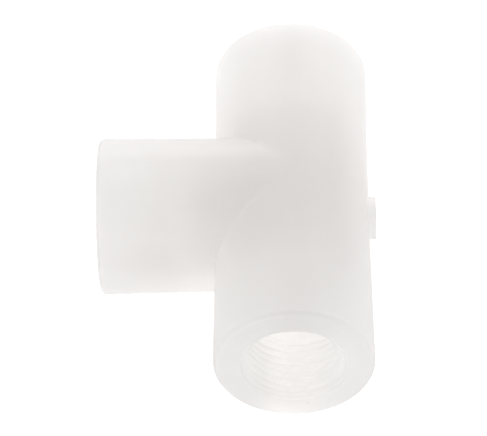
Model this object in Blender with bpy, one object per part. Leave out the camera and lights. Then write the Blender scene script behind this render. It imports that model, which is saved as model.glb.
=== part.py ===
"""Equal tee fitting with three internally threaded ports.

One injection-moulded piece of milky plastic. It lies flat: the straight run is along Y, the branch
points to -X, and the short stub left by the moulding gate is on the +X side. The origin is on the
surface that the fitting lies on, below the middle of its box.
"""
import math

import bmesh
import bpy
from mathutils import Matrix, Vector

MM = 0.001

# Barrels
MOUTH_RADIUS = 12.5 * MM
RUN_REACH = 31.4 * MM
BRANCH_REACH = 30.7 * MM
DRAFT = 0.0084
RIM_CHAMFER = 0.7 * MM
BRANCH_RELIEF = 0.02 * MM
BARREL_SIDES = 64

# Ports: parallel pipe thread of nominal size 3/8
THREAD_MAJOR_RADIUS = 8.331 * MM
THREAD_MINOR_RADIUS = 7.475 * MM
THREAD_PITCH = 1.337 * MM
THREAD_FLANK_ANGLE = math.radians(27.5)
THREAD_DEPTH = 12.0 * MM
PORT_DEPTH = 14.6 * MM
PASSAGE_RADIUS = 6.0 * MM
PORT_SIDES = 24
TOOL_OVERRUN = 1.0 * MM
GROOVE_OVERLAP = 0.15 * MM
GROOVE_TURN = math.radians(6)

# Stub left where the moulding gate was cut off
STUB_RADIUS = 3.45 * MM
STUB_HEIGHT = 1.1 * MM
STUB_SHIFT = -1.2 * MM
STUB_SIDES = 32

MIDDLE_RADIUS = MOUTH_RADIUS - DRAFT * (RUN_REACH - RIM_CHAMFER)
STUB_REACH = MIDDLE_RADIUS + STUB_HEIGHT
AXES_MEET = Vector(((BRANCH_REACH - STUB_REACH) / 2, 0, MOUTH_RADIUS))

SMOOTH_BELOW = math.radians(35)

# Each turning matrix takes local +Z to the direction that the barrel's mouth faces.
TO_NEAR_END = Matrix.Rotation(math.radians(90), 4, "X")
TO_FAR_END = Matrix.Rotation(math.radians(-90), 4, "X")
TO_BRANCH = Matrix.Rotation(math.radians(-90), 4, "Y")
TO_STUB = Matrix.Rotation(math.radians(90), 4, "Y")


def clear_scene():
    for item in list(bpy.data.objects):
        bpy.data.objects.remove(item, do_unlink=True)


def plastic():
    material = bpy.data.materials.new("milky_plastic")
    material.use_nodes = True
    shader = material.node_tree.nodes["Principled BSDF"]
    shader.inputs["Base Color"].default_value = (0.84, 0.82, 0.79, 1)
    shader.inputs["Roughness"].default_value = 0.38
    shader.inputs["Metallic"].default_value = 0.0
    shader.inputs["Subsurface Weight"].default_value = 0.6
    shader.inputs["Subsurface Radius"].default_value = (0.004, 0.0036, 0.003)
    return material


def new_object(name, bm, placing):
    mesh = bpy.data.meshes.new(name)
    bm.to_mesh(mesh)
    bm.free()
    item = bpy.data.objects.new(name, mesh)
    item.matrix_world = Matrix.Translation(AXES_MEET) @ placing
    bpy.context.scene.collection.objects.link(item)
    return item


def turned(profile, sides):
    """A closed solid turned about Z from (radius, height) points, listed from its top to its bottom."""
    bm = bmesh.new()
    rings = []
    for radius, height in profile:
        ring = bmesh.ops.create_circle(bm, cap_ends=False, segments=sides, radius=radius)["verts"]
        bmesh.ops.translate(bm, verts=ring, vec=(0, 0, height))
        rings.append(ring)
    for upper, lower in zip(rings, rings[1:]):
        for i in range(sides):
            after = (i + 1) % sides
            bm.faces.new((upper[i], lower[i], lower[after], upper[after]))
    bm.faces.new(rings[0])
    bm.faces.new(rings[-1])
    bmesh.ops.recalc_face_normals(bm, faces=bm.faces)
    return bm


def barrel_end_profile(reach):
    """The outer edge of a barrel's mouth: the rim of its flat face, then its widest circle."""
    return [(MOUTH_RADIUS - RIM_CHAMFER, reach), (MOUTH_RADIUS, reach - RIM_CHAMFER)]


def run_profile():
    end = barrel_end_profile(RUN_REACH)
    other_end = [(radius, -height) for radius, height in reversed(end)]
    return end + [(MIDDLE_RADIUS, 0)] + other_end


def branch_profile():
    inner_end = [(MIDDLE_RADIUS - BRANCH_RELIEF, 0), (PASSAGE_RADIUS, -PASSAGE_RADIUS)]
    return barrel_end_profile(BRANCH_REACH) + inner_end


def stub_profile():
    return [(STUB_RADIUS, STUB_REACH), (STUB_RADIUS, MIDDLE_RADIUS - 2 * STUB_HEIGHT)]


def port_profile(reach):
    """The hollow of one port, from its mouth: countersink, threaded length and the cone to the passage."""
    cone = THREAD_MINOR_RADIUS - PASSAGE_RADIUS
    countersink = THREAD_MAJOR_RADIUS - THREAD_MINOR_RADIUS
    return [
        (THREAD_MAJOR_RADIUS + TOOL_OVERRUN, reach + TOOL_OVERRUN),
        (THREAD_MINOR_RADIUS, reach - countersink),
        (THREAD_MINOR_RADIUS, reach - PORT_DEPTH + cone),
        (PASSAGE_RADIUS, reach - PORT_DEPTH),
    ]


def run_hollow_profile():
    half = port_profile(RUN_REACH)
    return half + [(radius, -height) for radius, height in reversed(half)]


def branch_hollow_profile():
    port = port_profile(BRANCH_REACH)
    port[-1] = (PASSAGE_RADIUS - BRANCH_RELIEF, port[-1][1])
    return port + [(PASSAGE_RADIUS - BRANCH_RELIEF, 0)]


def thread_groove(reach):
    """The coil of plastic that the thread leaves out, right-handed, with its 55 degree flanks."""
    depth = THREAD_MAJOR_RADIUS - THREAD_MINOR_RADIUS
    tip_half = (THREAD_PITCH / 2 - depth * math.tan(THREAD_FLANK_ANGLE)) / 2
    root_half = tip_half + (depth + GROOVE_OVERLAP) * math.tan(THREAD_FLANK_ANGLE)
    steps = round((THREAD_DEPTH + THREAD_PITCH) / THREAD_PITCH * PORT_SIDES)
    start = reach - THREAD_DEPTH
    outline = [
        (THREAD_MINOR_RADIUS - GROOVE_OVERLAP, -root_half),
        (THREAD_MAJOR_RADIUS, -tip_half),
        (THREAD_MAJOR_RADIUS, tip_half),
        (THREAD_MINOR_RADIUS - GROOVE_OVERLAP, root_half),
    ]
    bm = bmesh.new()
    face = bm.faces.new([bm.verts.new((radius, 0, start + offset)) for radius, offset in outline])
    bmesh.ops.rotate(bm, verts=bm.verts, matrix=Matrix.Rotation(GROOVE_TURN, 3, "Z"))
    bmesh.ops.spin(
        bm,
        geom=[face],
        cent=(0, 0, 0),
        axis=(0, 0, 1),
        dvec=(0, 0, THREAD_PITCH / PORT_SIDES),
        angle=2 * math.pi * steps / PORT_SIDES,
        steps=steps,
    )
    bmesh.ops.recalc_face_normals(bm, faces=bm.faces)
    return bm


def combine(body, tool, operation):
    tool.hide_render = True
    tool.display_type = "WIRE"
    change = body.modifiers.new(tool.name, "BOOLEAN")
    change.operation = operation
    change.solver = "EXACT"
    change.object = tool


def build_tee_body():
    body = new_object("tee_body", turned(run_profile(), BARREL_SIDES), TO_NEAR_END)
    combine(body, new_object("branch_barrel", turned(branch_profile(), BARREL_SIDES), TO_BRANCH), "UNION")
    stub_place = Matrix.Translation((0, STUB_SHIFT, 0)) @ TO_STUB
    combine(body, new_object("gate_stub", turned(stub_profile(), STUB_SIDES), stub_place), "UNION")

    run_hollow = new_object("run_hollow", turned(run_hollow_profile(), PORT_SIDES), TO_NEAR_END)
    combine(body, run_hollow, "DIFFERENCE")
    branch_hollow = new_object("branch_hollow", turned(branch_hollow_profile(), PORT_SIDES), TO_BRANCH)
    combine(body, branch_hollow, "DIFFERENCE")
    ports = (
        ("near", RUN_REACH, TO_NEAR_END),
        ("far", RUN_REACH, TO_FAR_END),
        ("branch", BRANCH_REACH, TO_BRANCH),
    )
    for name, reach, placing in ports:
        combine(body, new_object(name + "_thread_groove", thread_groove(reach), placing), "DIFFERENCE")

    body.data.shade_smooth()
    body.data.set_sharp_from_angle(angle=SMOOTH_BELOW)
    body.data.materials.append(plastic())
    return body


clear_scene()
build_tee_body()
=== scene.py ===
import math

import bmesh
import bpy
from mathutils import Matrix, Vector


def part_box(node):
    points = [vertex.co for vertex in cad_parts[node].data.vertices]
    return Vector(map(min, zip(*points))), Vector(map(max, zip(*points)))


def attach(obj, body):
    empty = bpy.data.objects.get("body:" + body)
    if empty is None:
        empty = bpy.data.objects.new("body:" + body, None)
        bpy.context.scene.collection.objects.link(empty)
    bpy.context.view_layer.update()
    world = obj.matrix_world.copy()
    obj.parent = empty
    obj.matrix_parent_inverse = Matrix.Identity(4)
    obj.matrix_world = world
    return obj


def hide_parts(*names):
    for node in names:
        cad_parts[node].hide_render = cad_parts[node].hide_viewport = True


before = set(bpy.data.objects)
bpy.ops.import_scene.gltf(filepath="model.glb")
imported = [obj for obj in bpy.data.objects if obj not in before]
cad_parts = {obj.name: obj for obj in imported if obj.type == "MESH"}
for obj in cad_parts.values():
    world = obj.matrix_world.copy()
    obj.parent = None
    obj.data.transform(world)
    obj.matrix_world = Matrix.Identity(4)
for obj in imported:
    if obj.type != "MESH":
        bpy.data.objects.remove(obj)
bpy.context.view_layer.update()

MM = 0.001

# Sizes that the frame gives
LOW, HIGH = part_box("tee_body")
MOUTH_RADIUS = (HIGH[2] - LOW[2]) / 2
RUN_REACH = (HIGH[1] - LOW[1]) / 2

# Outside of the barrels
RIM_ROUND = 0.85 * MM
RIM_FLATNESS = 1.35
RIM_FACE = 2 * MM
SUPPORT = 0.15 * MM
DRAFT = 0.0084
MIDDLE_RADIUS = MOUTH_RADIUS - DRAFT * (RUN_REACH - RIM_ROUND)

# Stub left by the moulding gate
STUB_RADIUS = 3.45 * MM
STUB_HEIGHT = 1.1 * MM
STUB_SHIFT = -1.2 * MM
STUB_REACH = MIDDLE_RADIUS + STUB_HEIGHT
STUB_EDGE = 0.12 * MM

AXES_MEET = Vector((HIGH[0] - STUB_REACH, 0, LOW[2] + MOUTH_RADIUS))
BRANCH_REACH = AXES_MEET.x - LOW[0]

# Ports: parallel pipe thread of nominal size 3/8
PITCH = 1.337 * MM
THREAD_MAJOR = 8.331 * MM
THREAD_MINOR = 7.475 * MM
THREAD_BOTTOM = 12.66 * MM
PASSAGE_RADIUS = 6.0 * MM
PASSAGE_STOPS_SHORT = 10 * MM

# Shape of the thread, in degrees, in pitches and in turns
FLANK_DEGREES = 27.5
THREAD_ROUND = 0.137329
RUN_IN_TURNS = 0.35
RUN_OUT_TURNS = 0.5
SPARE_TURNS = 3

# How far the cutting tools go past the surfaces that they cut
MOUTH_OVERRUN = 1.0 * MM
CONE_OVERRUN = 0.5 * MM
BOTTOM_OVERRUN = 0.1 * MM
TOP_OVERRUN_TURNS = 1.5

# Fineness of the meshes
SIDES = 192
ROWS = 22
THREAD_SIDES = 144
STUB_SIDES = 96
ARC_STEPS = 2
RIM_STEPS = 8
SMOOTH_BELOW = math.radians(35)

# Turning matrices: each takes local +Z to the direction that the barrel's mouth faces
TO_NEAR_END = Matrix.Rotation(math.radians(90), 4, "X")
TO_FAR_END = Matrix.Rotation(math.radians(-90), 4, "X")
TO_BRANCH = Matrix.Rotation(math.radians(-90), 4, "Y")
TO_STUB = Matrix.Rotation(math.radians(90), 4, "Y")

# Milky plastic
PLASTIC_IOR = 1.45
SCATTER_LENGTH = 60 * MM
SCATTER_REACH = (1.0, 0.97, 0.93)
PLASTIC_COLOUR = (0.99, 0.982, 0.976, 1)

# Clouds in it, and painted shade at the junction (the colour darkens where the arms meet), whose centre is
# measured from where the axes meet
CLOUD_COLOUR = (0.98, 0.971, 0.963, 1)
CLOUD_SIZE = 7 * MM
CLOUD_WARP = 0.4
CLOUD_DETAIL = 4.0
CLOUD_FROM = 0.35
CLOUD_TO = 0.7
JUNCTION_SHADE_COLOUR = (0.85, 0.838, 0.825, 1)
JUNCTION_SHADE_PLACE = Vector((-1.2 * MM, -5.5 * MM, 12 * MM))
JUNCTION_SHADE_CORE = 2 * MM
JUNCTION_SHADE_REACH = 15 * MM

# Painted shade: a darker band on the bevelled rims; and dark specks
RIM_SHADE_COLOUR = (0.91, 0.902, 0.896, 1)
RIM_SHADE_HALF_WIDTH = 0.4 * MM
RIM_SHADE_CORE = 0.1 * MM
SPECK_COLOUR = (0.6, 0.57, 0.54, 1)
SPECK_SPACING = 4 * MM
SPECK_SIZE = 0.16 * MM
SPECK_CORE = 0.3
SPECK_SHARE = 0.4

# Roughness of the plastic, and what the clouds, the grain and the sawn face add to it
ROUGHNESS = 0.3
CLOUD_ROUGHNESS = 0.1
GRAIN_ROUGHNESS = 0.08
SAWN_ROUGHNESS = 0.25

# Relief of the surface
GRAIN_SIZE = 0.35 * MM
GRAIN_DETAIL = 3.0
GRAIN_HEIGHT = 0.006 * MM
WAVE_SIZE = 6 * MM
WAVE_DETAIL = 2.0
WAVE_HEIGHT = 0.03 * MM
SAW_HEIGHT = 0.05 * MM
SAW_SPACING = 6 * MM
SAW_WARP = 3.0
SAW_DETAIL = 3.0
SAWN_FROM = 0.12 * MM
SAWN_TO = 0.04 * MM

# Floor and walls. The walls' top and the ceiling's start are heights on a sphere of radius 1.
FLOOR_HALF_WIDTH = 1.5
FLOOR_COLOUR = (0.9, 0.9, 0.9, 1)
FLOOR_ROUGHNESS = 0.8
FLOOR_SEEN = 1.2
FLOOR_GLOW_NEAR = 0.172
FLOOR_GLOW_FAR = 0.29
WALL_LIGHT = 0.62
CEILING_LIGHT = 0.29
WALL_TOP = 0.25
CEILING_FROM = 0.5

# Softboxes: the azimuth and elevation, in degrees, that each shines from, and its power
LIGHT_COLOUR = (1.0, 0.975, 0.967, 1)
SOFTBOX_SIZE = (1.2, 0.4)
SOFTBOX_DISTANCE = 1.0
SOFTBOXES = {
    "left_softbox": (-90, 14, 0.35),
    "front_left_softbox": (-45, 20, 2.35),
    "right_softbox": (90, 37, 2.0),
    "back_softbox": (180, 14, 1.0),
    "back_mid_softbox": (180, 28, 2.05),
    "high_softbox": (180, 65, 1.7),
}

# Lamps inside the ports
PORT_COLOUR = (0.9, 0.975, 1.0)
PORT_POWER = 0.00012
PORT_LAMP_SIZE = (10 * MM, 6 * MM)
PORT_LAMP_DEPTH = 6 * MM

LIGHT_BOUNCES = 24

# Camera: the photo's viewing angle, in degrees, and the place that goes with it
CAMERA_AZIMUTH = 1.64
CAMERA_ELEVATION = 47.97
CAMERA_ROLL = -2.08
CAMERA_DISTANCE = 38.81 * MOUTH_RADIUS
CAMERA_ASIDE = 0.623 * MOUTH_RADIUS
CAMERA_BELOW = 0.053 * MOUTH_RADIUS
CAMERA_LENS = 224.5
CAMERA_SENSOR = 36
CAMERA_CLIP = (0.01, 20)


def new_object(name, bm, placing=Matrix()):
    bmesh.ops.recalc_face_normals(bm, faces=bm.faces)
    mesh = bpy.data.meshes.new(name)
    bm.to_mesh(mesh)
    bm.free()
    item = bpy.data.objects.new(name, mesh)
    item.matrix_world = Matrix.Translation(AXES_MEET) @ placing
    bpy.context.scene.collection.objects.link(item)
    return item


def add_ring(bm, radius, height, sides):
    ring = []
    for i in range(sides):
        angle = 2 * math.pi * i / sides
        ring.append(bm.verts.new((radius * math.cos(angle), radius * math.sin(angle), height)))
    return ring


def bridge(bm, ring, other):
    for i, vert in enumerate(ring):
        after = (i + 1) % len(ring)
        bm.faces.new((vert, ring[after], other[after], other[i]))


def turned(profile, sides):
    """A closed solid turned about Z from (radius, height) points."""
    bm = bmesh.new()
    rings = [add_ring(bm, radius, height, sides) for radius, height in profile]
    for ring, other in zip(rings, rings[1:]):
        bridge(bm, ring, other)
    bm.faces.new(rings[0])
    bm.faces.new(rings[-1])
    return bm


def arm_frames():
    """For each arm: the direction it points, and the two directions that its angle turns through."""
    up, side, along = Vector((0, 0, 1)), Vector((-1, 0, 0)), Vector((0, 1, 0))
    return {"near": (-along, up, side), "far": (along, up, side), "branch": (side, up, along)}


def tee_solid(mouth_radius, middle_radius, reaches, end_profile):
    """A closed tee whose arms meet in a crisp crease. end_profile lists (radius lost, length lost) from
    the last full circle of an arm to the edge of its flat end."""
    bm = bmesh.new()
    half = SIDES // 2
    first_loss = end_profile[0][1]
    slope = (mouth_radius - middle_radius) / (reaches["far"] - first_loss)
    creases = {"near": [], "far": []}
    for i in range(half + 1):
        angle = math.pi * i / half
        out = middle_radius * math.sin(angle) / (1 - slope * math.sin(angle))
        radius = middle_radius + slope * out
        for name, sign in (("near", -1), ("far", 1)):
            if i in (0, half) and name == "far":
                creases[name].append(creases["near"][i])
            else:
                creases[name].append(bm.verts.new((-out, sign * out, radius * math.cos(angle))))
    waist = {}
    for i in range(half + 1, SIDES):
        angle = math.pi * i / half
        waist[i] = bm.verts.new((-middle_radius * math.sin(angle), 0, middle_radius * math.cos(angle)))

    def inner_vert(name, i):
        if name == "branch":
            return creases["far"][i] if i <= half else creases["near"][SIDES - i]
        return creases[name][i] if i <= half else waist[i]

    for name, (axis, first, second) in arm_frames().items():
        reach = reaches[name]
        full = reach - first_loss
        columns = []
        for i in range(SIDES):
            angle = math.pi * i / half
            direction = math.cos(angle) * first + math.sin(angle) * second
            inner = inner_vert(name, i)
            inner_out = inner.co.dot(axis)
            inner_radius = (inner.co - inner_out * axis).length
            column = [inner]
            for step in range(1, ROWS + 1):
                share = step / ROWS
                out = inner_out + (full - inner_out) * share
                radius = inner_radius + (mouth_radius - inner_radius) * share
                column.append(bm.verts.new(axis * out + direction * radius))
            for radius_lost, length_lost in end_profile[1:]:
                rim_radius = mouth_radius - radius_lost
                column.append(bm.verts.new(axis * (reach - length_lost) + direction * rim_radius))
            columns.append(column)
        for i, column in enumerate(columns):
            after = columns[(i + 1) % SIDES]
            for j in range(len(column) - 1):
                bm.faces.new((column[j], after[j], after[j + 1], column[j + 1]))
        bm.faces.new([column[-1] for column in columns])
    return bm


def rim_profile():
    """The broken outer edge of a barrel's mouth: a narrow bevel with softened edges, then the flat face."""
    points = [(0, RIM_ROUND + SUPPORT)]
    for step in range(RIM_STEPS + 1):
        angle = math.pi / 2 * step / RIM_STEPS
        across = abs(math.cos(angle)) ** RIM_FLATNESS
        along = abs(math.sin(angle)) ** RIM_FLATNESS
        points.append((RIM_ROUND * (1 - across), RIM_ROUND * (1 - along)))
    return points + [(RIM_ROUND + SUPPORT, 0), (RIM_ROUND + RIM_FACE, 0)]


def thread_points():
    """(place along the axis, depth), in pitches, across one turn from the middle of a crest."""
    full_depth = 0.5 / math.tan(math.radians(FLANK_DEGREES)) * 2 / 3
    arc_turn = math.radians(90 - FLANK_DEGREES)
    half = []
    for step in range(ARC_STEPS + 1):
        angle = arc_turn * step / ARC_STEPS
        half.append((THREAD_ROUND * math.sin(angle), THREAD_ROUND * (1 - math.cos(angle))))
    half += [(0.5 - place, full_depth - depth) for place, depth in reversed(half)]
    return half + [(1 - place, depth) for place, depth in reversed(half[1:-1])]


def threaded_tool(reach):
    """What the threaded length of a port leaves out: a right-hand screw with rounded crests and roots."""
    points = thread_points()
    per_turn = len(points)
    start = reach - THREAD_BOTTOM
    turns = math.ceil(THREAD_BOTTOM / PITCH) + SPARE_TURNS
    tracks = turns * per_turn

    def height_and_radius(track, i):
        place, depth = points[track % per_turn]
        turn = track // per_turn + place + i / THREAD_SIDES
        run_in = min(max((turn - 1) / RUN_IN_TURNS, 0), 1)
        run_out = min(max((turns - RUN_OUT_TURNS - turn) / RUN_OUT_TURNS, 0), 1)
        return start + PITCH * turn, THREAD_MINOR + PITCH * depth * run_in * run_out

    bm = bmesh.new()
    columns = []
    for i in range(THREAD_SIDES):
        angle = 2 * math.pi * i / THREAD_SIDES
        column = []
        for track in range(tracks + 1 + (per_turn if i == 0 else 0)):
            height, radius = height_and_radius(track, i)
            column.append(bm.verts.new((radius * math.cos(angle), radius * math.sin(angle), height)))
        columns.append(column)
    for column, after in zip(columns, columns[1:]):
        for track in range(tracks):
            bm.faces.new((column[track], after[track], after[track + 1], column[track + 1]))
    first, last = columns[0], columns[-1]
    for track in range(tracks):
        bm.faces.new((last[track], first[track + per_turn], first[track + per_turn + 1], last[track + 1]))

    # The coil's first column is one turn longer than the others, so the sides beside it close differently.
    top = add_ring(bm, THREAD_MINOR, start + PITCH * (turns + TOP_OVERRUN_TURNS), THREAD_SIDES)
    bottom = add_ring(bm, THREAD_MINOR, start - BOTTOM_OVERRUN, THREAD_SIDES)
    for i in range(1, THREAD_SIDES - 1):
        bm.faces.new((columns[i][-1], columns[i + 1][-1], top[i + 1], top[i]))
    bm.faces.new((last[-1], first[-1], top[0], top[-1]))
    bm.faces.new([first[tracks], columns[1][-1], top[1], top[0]] + first[: tracks : -1])
    for i in range(THREAD_SIDES - 1):
        bm.faces.new((bottom[i], bottom[i + 1], columns[i + 1][0], columns[i][0]))
    bm.faces.new([bottom[-1], bottom[0]] + first[: per_turn + 1] + [last[0]])

    cone = THREAD_MINOR - PASSAGE_RADIUS + CONE_OVERRUN
    end = add_ring(bm, THREAD_MINOR - cone, start - BOTTOM_OVERRUN - cone, THREAD_SIDES)
    bridge(bm, end, bottom)
    bm.faces.new(end)
    bm.faces.new(top)
    return bm


def countersink_tool(reach):
    """The cone, at 45 degrees, that opens the thread at the mouth of a port."""
    wide = (THREAD_MAJOR + MOUTH_OVERRUN, reach + MOUTH_OVERRUN)
    narrow = (THREAD_MINOR - MOUTH_OVERRUN, reach + THREAD_MINOR - THREAD_MAJOR - MOUTH_OVERRUN)
    return turned([wide, narrow], SIDES)


def stub_solid():
    """The disc of the stub, with the edge of its sawn face slightly broken."""
    sawn_edge = (STUB_RADIUS - STUB_EDGE, STUB_REACH)
    full = (STUB_RADIUS, STUB_REACH - STUB_EDGE)
    inside_the_run = (STUB_RADIUS, MIDDLE_RADIUS - 2 * STUB_HEIGHT)
    return turned([sawn_edge, full, inside_the_run], STUB_SIDES)


def combine(body, tool, operation):
    change = body.modifiers.new(tool.name, "BOOLEAN")
    change.operation = operation
    change.solver = "MANIFOLD"
    change.object = tool


def apply_all(body):
    bpy.context.view_layer.update()
    mesh = bpy.data.meshes.new_from_object(body.evaluated_get(bpy.context.evaluated_depsgraph_get()))
    for change in list(body.modifiers):
        bpy.data.objects.remove(change.object, do_unlink=True)
    body.modifiers.clear()
    body.data = mesh


def make_body():
    reaches = {"near": RUN_REACH, "far": RUN_REACH, "branch": BRANCH_REACH}
    body = new_object("tee_moulding", tee_solid(MOUTH_RADIUS, MIDDLE_RADIUS, reaches, rim_profile()))
    stub_placing = Matrix.Translation((0, STUB_SHIFT, 0)) @ TO_STUB
    combine(body, new_object("stub", stub_solid(), stub_placing), "UNION")
    inner_reaches = {name: reach - PASSAGE_STOPS_SHORT for name, reach in reaches.items()}
    passages = tee_solid(PASSAGE_RADIUS, PASSAGE_RADIUS, inner_reaches, [(0, 0)])
    combine(body, new_object("passages", passages), "DIFFERENCE")
    placings = {"near": TO_NEAR_END, "far": TO_FAR_END, "branch": TO_BRANCH}
    for name, placing in placings.items():
        thread = new_object(name + "_thread", threaded_tool(reaches[name]), placing)
        combine(body, thread, "DIFFERENCE")
        countersink = new_object(name + "_countersink", countersink_tool(reaches[name]), placing)
        combine(body, countersink, "DIFFERENCE")
    apply_all(body)
    body.data.transform(body.matrix_world)
    body.matrix_world = Matrix()
    body.data.shade_smooth()
    body.data.set_sharp_from_angle(angle=SMOOTH_BELOW)
    return body


def add_node(tree, kind, **settings):
    node = tree.nodes.new(kind)
    for name, value in settings.items():
        setattr(node, name, value)
    return node


def connect(tree, value, socket):
    """Give a socket what another node puts out, or a plain number or colour."""
    if hasattr(value, "is_linked"):
        tree.links.new(value, socket)
    else:
        socket.default_value = value


def fade(tree, value, start, end, low, high):
    """A value that goes smoothly from low to high as its input goes from start to end."""
    node = add_node(tree, "ShaderNodeMapRange", interpolation_type="SMOOTHSTEP")
    connect(tree, value, node.inputs["Value"])
    connect(tree, start, node.inputs["From Min"])
    connect(tree, end, node.inputs["From Max"])
    connect(tree, low, node.inputs["To Min"])
    connect(tree, high, node.inputs["To Max"])
    return node.outputs["Result"]


def maths(tree, operation, *values):
    node = add_node(tree, "ShaderNodeMath", operation=operation)
    for value, socket in zip(values, node.inputs):
        connect(tree, value, socket)
    return node.outputs["Value"]


def noise(tree, place, size, detail, warp=0.0):
    node = add_node(tree, "ShaderNodeTexNoise")
    tree.links.new(place, node.inputs["Vector"])
    node.inputs["Scale"].default_value = 1 / size
    node.inputs["Detail"].default_value = detail
    node.inputs["Distortion"].default_value = warp
    return node.outputs["Fac"]


def distance_from(tree, place, point):
    node = add_node(tree, "ShaderNodeVectorMath", operation="DISTANCE")
    tree.links.new(place, node.inputs[0])
    node.inputs[1].default_value = point
    return node.outputs["Value"]


def tint(tree, factor, colour, other):
    """The first colour where the factor is 0, and the other where it is 1. The mix node's sockets for
    colours are inputs 6 and 7 and output 2."""
    node = add_node(tree, "ShaderNodeMix", data_type="RGBA")
    tree.links.new(factor, node.inputs["Factor"])
    connect(tree, colour, node.inputs[6])
    connect(tree, other, node.inputs[7])
    return node.outputs[2]


def sparse_specks(tree, place):
    """Factor for the few dark specks that are moulded into the plastic."""
    cells = add_node(tree, "ShaderNodeTexVoronoi")
    tree.links.new(place, cells.inputs["Vector"])
    cells.inputs["Scale"].default_value = 1 / SPECK_SPACING
    edge = SPECK_SIZE / SPECK_SPACING
    core = SPECK_CORE * SPECK_SIZE / SPECK_SPACING
    near = fade(tree, cells.outputs["Distance"], edge, core, 0.0, 1.0)
    chosen = add_node(tree, "ShaderNodeSeparateColor")
    tree.links.new(cells.outputs["Color"], chosen.inputs["Color"])
    return maths(tree, "MULTIPLY", near, maths(tree, "GREATER_THAN", chosen.outputs[0], 1 - SPECK_SHARE))


def rim_shade_bands(tree, along_run, along_branch):
    """Factor for the darker band of painted shade on the bevelled rim of each mouth."""
    bands = []
    for along, reach in ((along_run, RUN_REACH), (along_branch, BRANCH_REACH)):
        gap = maths(tree, "ABSOLUTE", maths(tree, "SUBTRACT", along, reach - RIM_SHADE_HALF_WIDTH))
        bands.append(fade(tree, gap, RIM_SHADE_CORE, RIM_SHADE_HALF_WIDTH, 1.0, 0.0))
    return maths(tree, "MAXIMUM", *bands)


def saw_marks(tree, place):
    node = add_node(tree, "ShaderNodeTexWave", bands_direction="Y")
    tree.links.new(place, node.inputs["Vector"])
    node.inputs["Scale"].default_value = 1 / SAW_SPACING
    node.inputs["Distortion"].default_value = SAW_WARP
    node.inputs["Detail"].default_value = SAW_DETAIL
    return node.outputs["Fac"]


def plastic():
    """Milky plastic: light goes deep into it; painted shade darkens it at the junction, satin outside, sawn
    on the stub.
    """
    material = bpy.data.materials.new("milky_plastic")
    material.use_nodes = True
    tree = material.node_tree
    shader = tree.nodes["Principled BSDF"]
    shader.inputs["IOR"].default_value = PLASTIC_IOR
    shader.inputs["Subsurface Weight"].default_value = 1.0
    shader.inputs["Subsurface Scale"].default_value = SCATTER_LENGTH
    shader.inputs["Subsurface Radius"].default_value = SCATTER_REACH
    shader.inputs["Subsurface Anisotropy"].default_value = 0.0

    place = add_node(tree, "ShaderNodeTexCoord").outputs["Object"]
    split = add_node(tree, "ShaderNodeSeparateXYZ")
    tree.links.new(place, split.inputs["Vector"])
    along_run = maths(tree, "ABSOLUTE", split.outputs["Y"])
    along_branch = maths(tree, "SUBTRACT", AXES_MEET.x, split.outputs["X"])
    from_junction_shade_place = distance_from(tree, place, AXES_MEET + JUNCTION_SHADE_PLACE)

    cloudy = noise(tree, place, CLOUD_SIZE, CLOUD_DETAIL, CLOUD_WARP)
    clouds = fade(tree, cloudy, CLOUD_FROM, CLOUD_TO, 0.0, 1.0)
    grain = noise(tree, place, GRAIN_SIZE, GRAIN_DETAIL)
    waves = noise(tree, place, WAVE_SIZE, WAVE_DETAIL)
    # Painted shade: a darker tone that grows towards where the arms meet
    junction_shade = fade(tree, from_junction_shade_place, JUNCTION_SHADE_CORE, JUNCTION_SHADE_REACH, 1.0, 0.0)
    sawn = fade(tree, split.outputs["X"], HIGH[0] - SAWN_FROM, HIGH[0] - SAWN_TO, 0.0, 1.0)

    colour = tint(tree, clouds, PLASTIC_COLOUR, CLOUD_COLOUR)
    # The painted shade at the junction is mixed into the colour here
    colour = tint(tree, junction_shade, colour, JUNCTION_SHADE_COLOUR)
    # Painted shade: a darker band along the bevel of each rim
    colour = tint(tree, rim_shade_bands(tree, along_run, along_branch), colour, RIM_SHADE_COLOUR)
    colour = tint(tree, sparse_specks(tree, place), colour, SPECK_COLOUR)
    tree.links.new(colour, shader.inputs["Base Color"])

    rough = maths(tree, "MULTIPLY_ADD", clouds, CLOUD_ROUGHNESS, ROUGHNESS - CLOUD_ROUGHNESS / 2)
    rough = maths(tree, "ADD", rough, maths(tree, "MULTIPLY", grain, GRAIN_ROUGHNESS))
    rough = maths(tree, "ADD", rough, maths(tree, "MULTIPLY", sawn, SAWN_ROUGHNESS))
    tree.links.new(rough, shader.inputs["Roughness"])

    height = maths(tree, "MULTIPLY", grain, GRAIN_HEIGHT)
    height = maths(tree, "ADD", height, maths(tree, "MULTIPLY", waves, WAVE_HEIGHT))
    sawn_marks = maths(tree, "MULTIPLY", saw_marks(tree, place), sawn)
    height = maths(tree, "ADD", height, maths(tree, "MULTIPLY", sawn_marks, SAW_HEIGHT))
    bump = add_node(tree, "ShaderNodeBump")
    bump.inputs["Strength"].default_value = 1.0
    bump.inputs["Distance"].default_value = 1.0
    tree.links.new(height, bump.inputs["Height"])
    tree.links.new(bump.outputs["Normal"], shader.inputs["Normal"])
    return material


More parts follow.
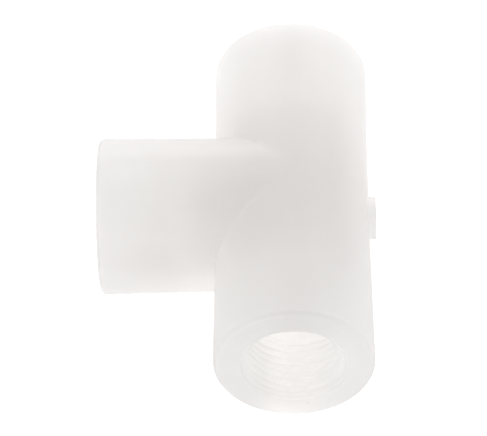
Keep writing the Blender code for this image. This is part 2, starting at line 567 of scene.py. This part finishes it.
def floor_material():
    """Pure white to the camera, and to the fitting a glow that is weaker beside the near mouth."""
    material = bpy.data.materials.new("pale_floor")
    material.use_nodes = True
    tree = material.node_tree
    shader = tree.nodes["Principled BSDF"]
    shader.inputs["Base Color"].default_value = FLOOR_COLOUR
    shader.inputs["Roughness"].default_value = FLOOR_ROUGHNESS
    shader.inputs["Emission Color"].default_value = (1, 1, 1, 1)
    place = add_node(tree, "ShaderNodeNewGeometry").outputs["Position"]
    from_near_mouth = distance_from(tree, place, (AXES_MEET.x, LOW[1], LOW[2]))
    glow = fade(tree, from_near_mouth, MOUTH_RADIUS, 2 * RUN_REACH, FLOOR_GLOW_NEAR, FLOOR_GLOW_FAR)
    seen = add_node(tree, "ShaderNodeMix")
    tree.links.new(add_node(tree, "ShaderNodeLightPath").outputs["Is Camera Ray"], seen.inputs["Factor"])
    tree.links.new(glow, seen.inputs["A"])
    seen.inputs["B"].default_value = FLOOR_SEEN
    tree.links.new(seen.outputs["Result"], shader.inputs["Emission Strength"])
    return material


def make_floor():
    bm = bmesh.new()
    bmesh.ops.create_grid(bm, x_segments=1, y_segments=1, size=FLOOR_HALF_WIDTH)
    mesh = bpy.data.meshes.new("floor")
    bm.to_mesh(mesh)
    bm.free()
    mesh.materials.append(floor_material())
    floor = bpy.data.objects.new("floor", mesh)
    bpy.context.scene.collection.objects.link(floor)


def make_world():
    """White walls that shine all round, and a darker ceiling."""
    world = bpy.data.worlds.new("studio")
    bpy.context.scene.world = world
    world.use_nodes = True
    tree = world.node_tree
    split = add_node(tree, "ShaderNodeSeparateXYZ")
    tree.links.new(add_node(tree, "ShaderNodeTexCoord").outputs["Generated"], split.inputs["Vector"])
    strength = fade(tree, split.outputs["Z"], WALL_TOP, CEILING_FROM, WALL_LIGHT, CEILING_LIGHT)
    tree.links.new(strength, tree.nodes["Background"].inputs["Strength"])
    tree.nodes["Background"].inputs["Color"].default_value = LIGHT_COLOUR


def towards(azimuth, elevation):
    """The direction, from the fitting, of a place at these degrees: azimuth 0 is in front of the near mouth,
    and 90 is on the stub's side."""
    turn, rise = math.radians(azimuth), math.radians(elevation)
    return Vector((math.sin(turn) * math.cos(rise), -math.cos(turn) * math.cos(rise), math.sin(rise)))


def add_lamp(name, size, power, colour):
    """A rectangular lamp that the camera doesn't see."""
    light = bpy.data.lights.new(name, "AREA")
    light.shape = "RECTANGLE"
    light.size, light.size_y = size
    light.energy = power
    light.color = colour
    item = bpy.data.objects.new(name, light)
    item.visible_camera = False
    bpy.context.scene.collection.objects.link(item)
    return item


def add_softboxes():
    for name, (azimuth, elevation, power) in SOFTBOXES.items():
        item = add_lamp(name, SOFTBOX_SIZE, power, LIGHT_COLOUR[:3])
        direction = towards(azimuth, elevation)
        item.location = AXES_MEET + direction * SOFTBOX_DISTANCE
        item.rotation_euler = (-direction).to_track_quat("-Z", "Y").to_euler()


def add_port_lamps(name, placing, reach):
    """Two small lamps in a port that face its walls: they stand in for the light that the plastic guides."""
    inside = Matrix.Translation((0, 0, reach - PORT_LAMP_DEPTH))
    for side in (-1, 1):
        item = add_lamp(name + "_lamp", PORT_LAMP_SIZE, PORT_POWER, PORT_COLOUR)
        facing = Matrix.Rotation(side * math.radians(90), 4, "Y")
        item.matrix_world = Matrix.Translation(AXES_MEET) @ placing @ inside @ facing


def make_camera():
    back = towards(CAMERA_AZIMUTH, CAMERA_ELEVATION)
    level_right = (-back).cross(Vector((0, 0, 1))).normalized()
    level_up = back.cross(level_right)
    roll = math.radians(CAMERA_ROLL)
    right = level_right * math.cos(roll) + level_up * math.sin(roll)
    up = level_up * math.cos(roll) - level_right * math.sin(roll)
    place = AXES_MEET + back * CAMERA_DISTANCE - right * CAMERA_ASIDE - up * CAMERA_BELOW
    camera = bpy.data.cameras.new("camera")
    camera.lens = CAMERA_LENS
    camera.sensor_width = CAMERA_SENSOR
    camera.clip_start, camera.clip_end = CAMERA_CLIP
    item = bpy.data.objects.new("camera", camera)
    item.matrix_world = Matrix.Translation(place) @ Matrix((right, up, back)).transposed().to_4x4()
    bpy.context.scene.collection.objects.link(item)
    bpy.context.scene.camera = item


make_camera()
make_world()
make_floor()
add_softboxes()
add_port_lamps("near", TO_NEAR_END, RUN_REACH)
add_port_lamps("far", TO_FAR_END, RUN_REACH)
add_port_lamps("branch", TO_BRANCH, BRANCH_REACH)
bpy.context.scene.cycles.max_bounces = LIGHT_BOUNCES
bpy.context.scene.cycles.diffuse_bounces = LIGHT_BOUNCES
bpy.context.scene.view_settings.view_transform = "Standard"

body = make_body()
body.data.materials.clear()
body.data.materials.append(plastic())
body.data.polygons.foreach_set("material_index", [0] * len(body.data.polygons))
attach(body, "root")
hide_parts("tee_body")
